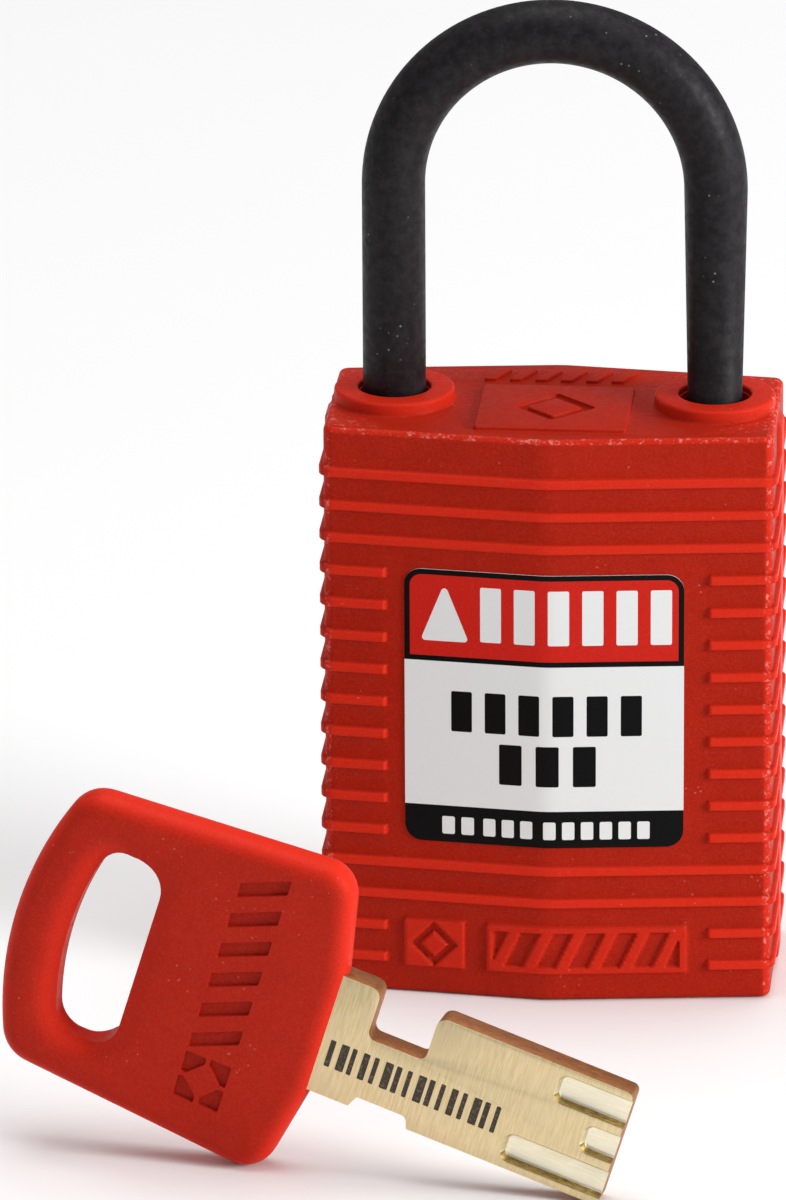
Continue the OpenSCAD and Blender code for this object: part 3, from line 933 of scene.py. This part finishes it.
def square_less_lozenge(u, v, half_w):
    """Four corner pieces of a square round a lozenge."""
    cu, cv = (u[0] + u[1]) / 2, (v[0] + v[1]) / 2
    gap = 0.18
    pieces = []
    for su in (-1, 1):
        for sv in (-1, 1):
            edge_u = u[1] if su > 0 else u[0]
            edge_v = v[1] if sv > 0 else v[0]
            corners = [
                (cu + su * gap, edge_v),
                (edge_u, edge_v),
                (edge_u, cv + sv * gap),
                (cu + su * (half_w + gap), cv + sv * gap),
                (cu + su * gap, cv + sv * (half_w + gap)),
            ]
            pieces.append(corners if su * sv < 0 else corners[::-1])
    return pieces


def mark_rim(bow):
    """Stores a painted highlight on the rolled edges, weaker beside the slot, and marks the motif's engraved
    floors for painted shade, for the material.
    """
    u, y, v = np.abs(points_mm(bow))
    in_mark = (u < 33) & (u > 27) & (v < 11.5)
    near_slot = (u > 34.5) & (u < 45.2) & (v < 9.7)
    # painted highlight on the rolled edges, none on the motif
    rolled = np.where(in_mark, 0, smoothstep((BOW_T / 2 - 0.02 - y) / 0.6))
    store(bow, "raised", rolled * np.where(near_slot, 0.6, 1))
    # painted shade on the motif's engraved floors
    store(bow, "engraved_shade", in_mark & (y < BOW_T / 2 - ENGRAVED + 0.06))


def blade_outline():
    """The blade's outline, counter-clockwise, with its deep notch and shallow nick."""
    half = BLADE_W / 2
    left, right = NOTCH[0] + 0.2, NOTCH[1] + 0.15
    low = [(BOW_RIGHT - 3, -half), (left, -half), (left + 0.45, NICK_V), (right - 0.55, NICK_V)]
    low += arc((right - 0.55, NICK_V - 0.5), 0.5, 90, 30, 3)[1:] + [(right + 0.1, -half)]
    tip = arc((-TIP_R, -half + TIP_R), TIP_R, 270, 360, 5) + arc((-TIP_R, half - TIP_R), TIP_R, 0, 90, 5)
    inner, outer = 0.6, 0.8
    left, right = NOTCH
    floor = NOTCH_FLOOR + inner
    notch = arc((right + outer, half - outer), outer, 90, 180, 6)
    notch += arc((right - inner, floor), inner, 360, 270, 5) + arc((left + inner, floor), inner, 270, 180, 5)
    notch += arc((left - outer, BLADE_ROOT - outer), outer, 0, 90, 6)
    return low + tip + notch + [(BOW_RIGHT - 3, BLADE_ROOT)]


def groove_tool(v, start):
    """One milled groove, open at the tip, with a bevelled rim."""
    half_w, end_r = 2.05 / 2, 0.62
    face = -BLADE_T / 2
    levels = ((0.7, -0.28), (0.62, -0.1), (0.18, 0.0), (-0.02, 0.16), (-0.6, 0.16))
    rings = []
    for depth, grow in levels:
        corners = box_corners((start, 2.0), (v - half_w, v + half_w))
        outline = round_corners(corners, end_r, grow, 5)
        rings.append(upright(outline, face + depth))
    return ring_solid("groove", rings)


def mark_tools():
    """Upright strokes in place of a stamped number."""
    tools = []
    widths = (0.42, 0.62, 0.36, 0.5, 0.36, 0.62, 0.42, 0.36, 0.62, 0.42, 0.36, 0.5, 0.36, 0.62, 0.42, 0.36)
    face = -BLADE_T / 2
    depth, first, pitch = 0.04, -22.0, 0.86
    for k, width in enumerate(widths):
        x = first + k * pitch
        outline = round_corners(box_corners((x, x + width), (-2.35, -0.2)), 0.08, 0, 2)
        rings = [upright(outline, y) for y in (face + depth, face - 0.5)]
        tools.append(ring_solid("stroke", rings))
    return tools


def blade_piece():
    """The milled blade, with a material for each kind of surface."""
    outline = blade_outline()
    half = BLADE_T / 2
    rings = [upright(outline, y) for y in (half, -half)]
    blade = ring_solid("key_blade_brass", rings)
    face_outward(blade)
    cut(blade, [groove_tool(v, start) for v, start in GROOVES])
    soften = blade.modifiers.new("soften", "BEVEL")
    soften.width = 0.09 * MM
    soften.segments = 2
    soften.limit_method = "ANGLE"
    soften.angle_limit = math.radians(50)
    bake_modifiers(blade)
    cut(blade, mark_tools())
    smooth(blade, 35)
    face, edge, floor, wall, mark = range(5)
    for polygon in blade.data.polygons:
        y = polygon.center.y / MM + half
        n = polygon.normal
        u, v = polygon.center.x / MM, polygon.center.z / MM
        inside_outline = abs(v) < BLADE_W / 2 - 0.12 and u < -0.12
        if abs(n.y) > 0.7:
            polygon.material_index = floor if y > 0.5 and y < 1 else mark if 0.02 < y < 0.06 else face
        elif inside_outline and y < 0.72 and u > -8.6:
            polygon.material_index = wall if n.z > 0.2 else floor
        elif abs(y - half) < half - 0.1:
            polygon.material_index = edge
        else:
            polygon.material_index = face
    blade.matrix_world = key_matrix()
    return blade


# ---------- materials


class Shader:
    """A principled material with short calls for the nodes that the finishes share."""

    def __init__(self, name, rough=0.4, metal=0.0, **sockets):
        self.material = bpy.data.materials.new(name)
        self.material.use_nodes = True
        self.tree = self.material.node_tree
        self.shader = self.tree.nodes["Principled BSDF"]
        self.shader.inputs["Roughness"].default_value = rough
        self.shader.inputs["Metallic"].default_value = metal
        for key, value in sockets.items():
            self.shader.inputs[key.replace("_", " ")].default_value = value
        self.place = self.tree.nodes.new("ShaderNodeTexCoord").outputs["Object"]

    def link(self, output, socket):
        self.tree.links.new(output, socket)

    def noise(self, size, detail=2.0, rough=0.5, stretch=(1, 1, 1)):
        """Noise with features about size millimetres wide, made finer on each axis by stretch."""
        place = self.tree.nodes.new("ShaderNodeMapping")
        place.inputs["Scale"].default_value = stretch
        self.link(self.place, place.inputs["Vector"])
        node = self.tree.nodes.new("ShaderNodeTexNoise")
        node.inputs["Scale"].default_value = 1 / (size * MM)
        node.inputs["Detail"].default_value = detail
        node.inputs["Roughness"].default_value = rough
        self.link(place.outputs[0], node.inputs["Vector"])
        return node.outputs["Fac"]

    def specks(self, size, share):
        """Small scattered spots, 1 inside and 0 outside. share is how much of a cell a spot fills."""
        node = self.tree.nodes.new("ShaderNodeTexVoronoi")
        node.inputs["Scale"].default_value = 1 / (size * MM)
        self.link(self.place, node.inputs["Vector"])
        return self.ramp(node.outputs["Distance"], share, share * 0.5, 0, 1)

    def attribute(self, name):
        node = self.tree.nodes.new("ShaderNodeAttribute")
        node.attribute_name = name
        return node.outputs["Fac"]

    def ramp(self, value, low, high, out_low=0.0, out_high=1.0):
        """Maps a value from one range to another, smoothly."""
        node = self.tree.nodes.new("ShaderNodeMapRange")
        node.interpolation_type = "SMOOTHSTEP"
        ends = {"From Min": low, "From Max": high, "To Min": out_low, "To Max": out_high}
        for key, number in ends.items():
            node.inputs[key].default_value = number
        self.link(value, node.inputs["Value"])
        return node.outputs["Result"]

    def mix(self, share, a, b):
        """A colour between a and b. Each is a colour or an output."""
        node = self.tree.nodes.new("ShaderNodeMix")
        node.data_type = "RGBA"
        for value, key in ((a, 6), (b, 7)):
            if isinstance(value, tuple):
                node.inputs[key].default_value = (*value, 1)
            else:
                self.link(value, node.inputs[key])
        self.link(share, node.inputs[0])
        return node.outputs[2]

    def combine(self, operation, a, b):
        """The sum or product of an output and a number or second output."""
        node = self.tree.nodes.new("ShaderNodeMath")
        node.operation = operation
        self.link(a, node.inputs[0])
        if isinstance(b, float):
            node.inputs[1].default_value = b
        else:
            self.link(b, node.inputs[1])
        return node.outputs[0]

    def times(self, a, b):
        return self.combine("MULTIPLY", a, b)

    def plus(self, a, b):
        return self.combine("ADD", a, b)

    def colour(self, output):
        self.link(output, self.shader.inputs["Base Color"])

    def rough(self, output):
        self.link(output, self.shader.inputs["Roughness"])

    def bump(self, height, depth):
        """Surface grain: height from 0 to 1 stands for depth millimetres."""
        node = self.tree.nodes.new("ShaderNodeBump")
        node.inputs["Distance"].default_value = depth * MM
        self.link(height, node.inputs["Height"])
        self.link(node.outputs[0], self.shader.inputs["Normal"])


def red_nylon(name, dull, bright):
    """Moulded red nylon: mottled, with a painted highlight where it stands out, painted shade on engraved
    floors, wear and a painted highlight on marked edges, and a few pale specks.
    """
    s = Shader(name, Specular_IOR_Level=0.05)
    mottle = s.noise(2.2, 3, 0.6)
    base = s.mix(s.ramp(mottle, 0.3, 0.7, 0.0, 0.45), dull, tuple(c * 1.18 for c in dull))
    # painted highlight where the raised attribute is set: ribs, relief, collars and edges
    base = s.mix(s.attribute("raised"), base, bright)
    # painted shade on engraved floors, darker than the dull colour
    base = s.mix(s.attribute("engraved_shade"), base, tuple(c * 0.86 for c in dull))
    fine = s.noise(0.16, 2, 0.6)
    base = s.mix(s.ramp(fine, 0.35, 0.75, 0.0, 0.09), base, (0.75, 0.14, 0.09))
    # pale scuff marks along the top edge and corners: partly wear, partly painted highlight
    scuffs_and_highlight = s.times(s.attribute("edge_wear_and_highlight"), s.ramp(s.noise(0.45, 4, 0.7), 0.53, 0.66))
    base = s.mix(s.times(scuffs_and_highlight, 0.4), base, (0.85, 0.38, 0.32))
    patch = s.ramp(s.noise(3.0, 2), 0.54, 0.7)
    dots = s.times(s.specks(0.7, 0.16), patch)
    base = s.mix(s.times(dots, 0.22), base, (0.85, 0.35, 0.28))
    s.colour(base)
    s.rough(s.ramp(s.noise(0.5, 3), 0.3, 0.7, 0.36, 0.5))
    s.bump(s.plus(s.times(s.noise(0.22, 3, 0.65), 0.4), s.noise(1.6, 2)), 0.012)
    return s.material


def black_nylon(name):
    """Glass-filled black nylon with a fine mottled grain."""
    s = Shader(name, Specular_IOR_Level=0.16)
    cloud = s.ramp(s.noise(0.8, 4, 0.7), 0.35, 0.7)
    base = s.mix(cloud, (0.007, 0.006, 0.007), (0.019, 0.016, 0.0185))
    streak = s.noise(0.35, 3, 0.7)
    base = s.mix(s.ramp(streak, 0.58, 0.75, 0.0, 0.35), base, (0.04, 0.036, 0.039))
    dots = s.times(s.specks(0.8, 0.13), s.ramp(s.noise(4.0, 2), 0.55, 0.68))
    base = s.mix(s.times(dots, 0.5), base, (0.35, 0.33, 0.33))
    s.colour(base)
    s.rough(s.ramp(s.noise(0.6, 3), 0.3, 0.7, 0.42, 0.58))
    s.bump(s.noise(0.3, 4, 0.7), 0.02)
    return s.material


def print_ink(name, colour, grain=0.0, rough=0.3):
    """Printed or bare vinyl with a faint grain."""
    s = Shader(name, rough=rough, Specular_IOR_Level=0.06)
    light = tuple(min(1, c * (1 + grain) + grain * 0.15) for c in colour)
    s.colour(s.mix(s.ramp(s.noise(0.12, 3, 0.7), 0.35, 0.7), colour, light))
    s.rough(s.ramp(s.noise(1.5, 2), 0.3, 0.7, rough - 0.02, rough + 0.04))
    s.bump(s.noise(2.5, 1), 0.002)
    return s.material


def brushed(name, dark, light, rough, stretch=(14, 1, 1), size=1.6, depth=0.004):
    """Brushed metal. Its lines lie across the axis that stretch makes finest."""
    s = Shader(name, metal=1.0)
    lines = s.noise(size, 3, 0.7, stretch)
    cloud = s.noise(2.5, 2)
    base = s.mix(s.ramp(lines, 0.3, 0.7), dark, light)
    base = s.mix(s.ramp(cloud, 0.35, 0.7, 0.0, 0.35), base, tuple(c * 0.82 for c in light))
    s.colour(base)
    s.rough(s.ramp(lines, 0.3, 0.7, rough, rough + 0.14))
    s.bump(lines, depth)
    return s.material


def laser_mark(name):
    """Dark burnt strokes with brass showing through in places."""
    s = Shader(name, rough=0.6, metal=0.3)
    show = s.ramp(s.noise(0.22, 3, 0.7), 0.5, 0.72)
    s.colour(s.mix(show, (0.055, 0.042, 0.03), (0.2, 0.15, 0.09)))
    s.bump(s.noise(0.15, 3), 0.02)
    return s.material


def metal(name, dark, light, rough):
    """Turned or plated metal with a soft cloudiness and fine scratches."""
    s = Shader(name, metal=1.0)
    s.colour(s.mix(s.ramp(s.noise(1.2, 4, 0.6), 0.3, 0.7), dark, light))
    s.rough(s.ramp(s.noise(0.5, 3), 0.3, 0.7, rough, rough + 0.12))
    s.bump(s.noise(0.25, 3), 0.005)
    return s.material


# ---------- putting it together


def finish_piece(obj, body, slot, materials, *replaced):
    """Gives a new piece its materials and its body, and hides the CAD nodes it replaces."""
    for material in materials:
        obj.data.materials.append(material)
    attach(obj, body)
    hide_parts(*replaced)


def dress_nodes(names, material):
    """Gives CAD nodes that stay a finish in place of their plain colour."""
    for name in names:
        for slot in nodes[name].material_slots:
            slot.material = material


def dress_object():
    """Makes every visible piece and gives each CAD node that stays its finish."""
    nylon = red_nylon("red_nylon_body", (0.365, 0.012, 0.003), (0.62, 0.021, 0.007))
    bow_nylon = red_nylon("red_nylon_key", (0.45, 0.017, 0.007), (0.64, 0.022, 0.009))
    rod_nylon = black_nylon("black_nylon_rod")
    ink = print_ink("label_black", (0.004, 0.004, 0.004), 0.01, 0.36)
    header = print_ink("label_red", (0.54, 0.013, 0.006), 0.07, 0.4)
    vinyl = print_ink("label_white", (0.75, 0.77, 0.77), 0.02, 0.28)
    face = brushed("key_face", (0.67, 0.52, 0.28), (0.85, 0.70, 0.43), 0.36)
    copper = brushed("key_edge", (0.26, 0.10, 0.035), (0.52, 0.24, 0.10), 0.45, (1, 6, 1), 0.5, 0.03)
    across = (1, 1, 10)
    floor = brushed("key_groove", (0.82, 0.74, 0.52), (0.95, 0.89, 0.72), 0.28, across)
    wall = brushed("key_groove_wall", (0.15, 0.10, 0.03), (0.45, 0.32, 0.12), 0.4, across, 0.5, 0.02)
    finish_piece(body_piece(), "case", "red_nylon", [nylon], "body_shell")
    inks = [ink, header, vinyl]
    front = label_piece("label_front_print", label_zones(), 1)
    finish_piece(front, "case", "label_vinyl", inks, "label_front")
    back = label_piece("label_back_print", back_zones(), -1)
    finish_piece(back, "case", "label_vinyl", inks, "label_back")
    finish_piece(shackle_piece(), "shackle", "black_nylon", [rod_nylon], "shackle")
    finish_piece(bow_piece(), "key", "red_nylon", [bow_nylon], "key_bow")
    brasses = [face, copper, floor, wall, laser_mark("key_mark")]
    finish_piece(blade_piece(), "key", "key_brass", brasses, "key_blade")

    dress_nodes(["bottom_cover"], nylon)
    dress_nodes(["spacer_sleeve", "spring_seat"], rod_nylon)
    turned = metal("turned_brass", (0.55, 0.40, 0.17), (0.75, 0.58, 0.30), 0.25)
    dress_nodes(["plug", "sidebar", "slider_1", "slider_2", "slider_3"], turned)
    cast = metal("cast_zinc", (0.42, 0.42, 0.43), (0.6, 0.6, 0.61), 0.35)
    dress_nodes(["cylinder_housing", "locking_cam"], cast)
    bright = metal("bright_steel", (0.5, 0.5, 0.51), (0.72, 0.72, 0.73), 0.2)
    steel = ["cover_screws", "key_retainer", "shackle_spring", "plug_clip", "sidebar_springs", "heel_ring"]
    dress_nodes(steel + ["ball_heel", "ball_toe"], bright)
    add_slider_springs(bright)


# ---------- floor, light and camera


def make_floor():
    half = 1600
    corners = box_corners((-half, half), (-half, half))
    floor = add_mesh("studio_floor", [(x, y, -0.02) for x, y in corners], [(0, 1, 2, 3)])
    s = Shader("floor_paint", rough=0.9)
    s.colour(s.mix(s.noise(80), (0.90, 0.90, 0.90), (0.92, 0.92, 0.92)))
    floor.data.materials.append(s.material)


def area_light(name, at, aim, size, power):
    """A round soft light. Places and size are in metres."""
    lamp = bpy.data.lights.new(name, "AREA")
    lamp.shape = "DISK"
    lamp.size = size
    lamp.energy = power
    obj = bpy.data.objects.new(name, lamp)
    obj.location = at
    obj.rotation_euler = (Vector(aim) - Vector(at)).to_track_quat("-Z", "Y").to_euler()
    bpy.context.scene.collection.objects.link(obj)


def make_lights():
    world = bpy.data.worlds.new("studio")
    world.use_nodes = True
    background = world.node_tree.nodes["Background"]
    background.inputs["Color"].default_value = (1, 1, 1, 1)
    background.inputs["Strength"].default_value = 0.34
    bpy.context.scene.world = world
    middle = (0, -0.01, 0.03)
    area_light("key_light", (0.9, -0.35, 0.35), middle, 0.45, 9.5)
    area_light("top_light", (0.0, 0.1, 1.5), middle, 1.2, 13.5)


def make_camera():
    """A long lens, slightly to the right of the front and above it."""
    yaw, pitch, roll = (math.radians(a) for a in (5.095, 19.858, -0.306))
    distance = 828.43
    target = Vector((-12.15, 0, 28.475))
    ahead = Vector((-math.sin(yaw), math.cos(yaw), 0))
    forward = ahead * math.cos(pitch) - Vector((0, 0, math.sin(pitch)))
    right = Vector((math.cos(yaw), math.sin(yaw), 0))
    up = right.cross(forward)
    right, up = (
        math.cos(roll) * right + math.sin(roll) * up,
        -math.sin(roll) * right + math.cos(roll) * up,
    )
    camera = bpy.data.cameras.new("camera")
    camera.sensor_fit = "VERTICAL"
    camera.sensor_height = 36
    camera.lens = 331.39
    camera.clip_start = 0.05
    camera.clip_end = 10
    obj = bpy.data.objects.new("camera", camera)
    turn = Matrix((right, up, -forward)).transposed()
    obj.matrix_world = Matrix.Translation((target - forward * distance) * MM) @ turn.to_4x4()
    bpy.context.scene.collection.objects.link(obj)
    bpy.context.scene.camera = obj


make_camera()
make_lights()
make_floor()
dress_object()
bpy.context.scene.view_settings.view_transform = "Standard"
